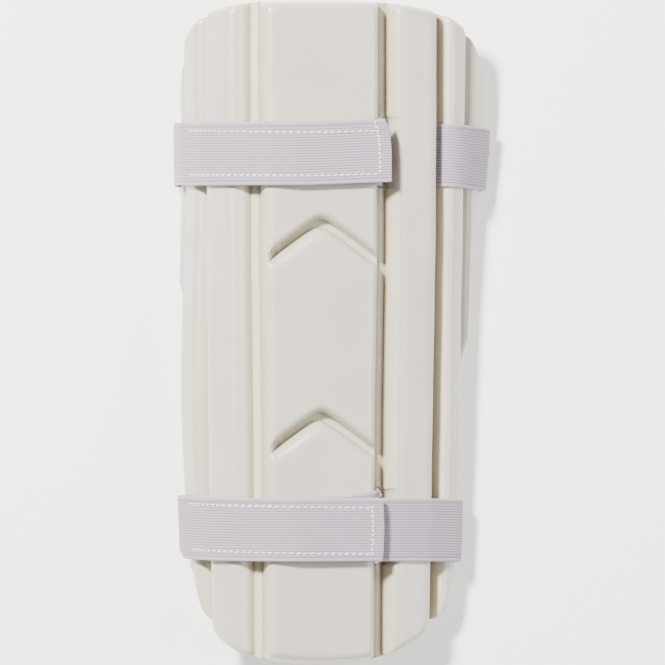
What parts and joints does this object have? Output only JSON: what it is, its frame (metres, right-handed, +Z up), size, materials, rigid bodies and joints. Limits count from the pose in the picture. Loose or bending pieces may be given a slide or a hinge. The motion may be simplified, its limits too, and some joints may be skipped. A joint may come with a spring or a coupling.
{
  "type": "cricket arm guard",
  "caption": "Forearm guard of ribbed moulded foam, bent round the arm, with two elastic hook and loop straps.",
  "frame": {"origin": "middle of the underside of the guard's box, on the surface that it lies on", "axes": "+Y towards the elbow end, +X to the right of the picture, +Z up, out of the ribbed face; it lies on its straps' back spans"},
  "size_m": [0.124, 0.2576, 0.0598],
  "materials": {
    "moulded_foam": "satin skin over moulded foam",
    "woven_elastic": "ribbed woven elastic",
    "hook_tape": "hook tape"
  },
  "bodies": {
    "root": {"guard_shell": "moulded_foam", "upper_strap": "woven_elastic", "upper_hook_patch": "hook_tape", "lower_strap": "woven_elastic", "lower_hook_patch": "hook_tape", "lower_loop_tab": "woven_elastic"}
  },
  "joints": []
}
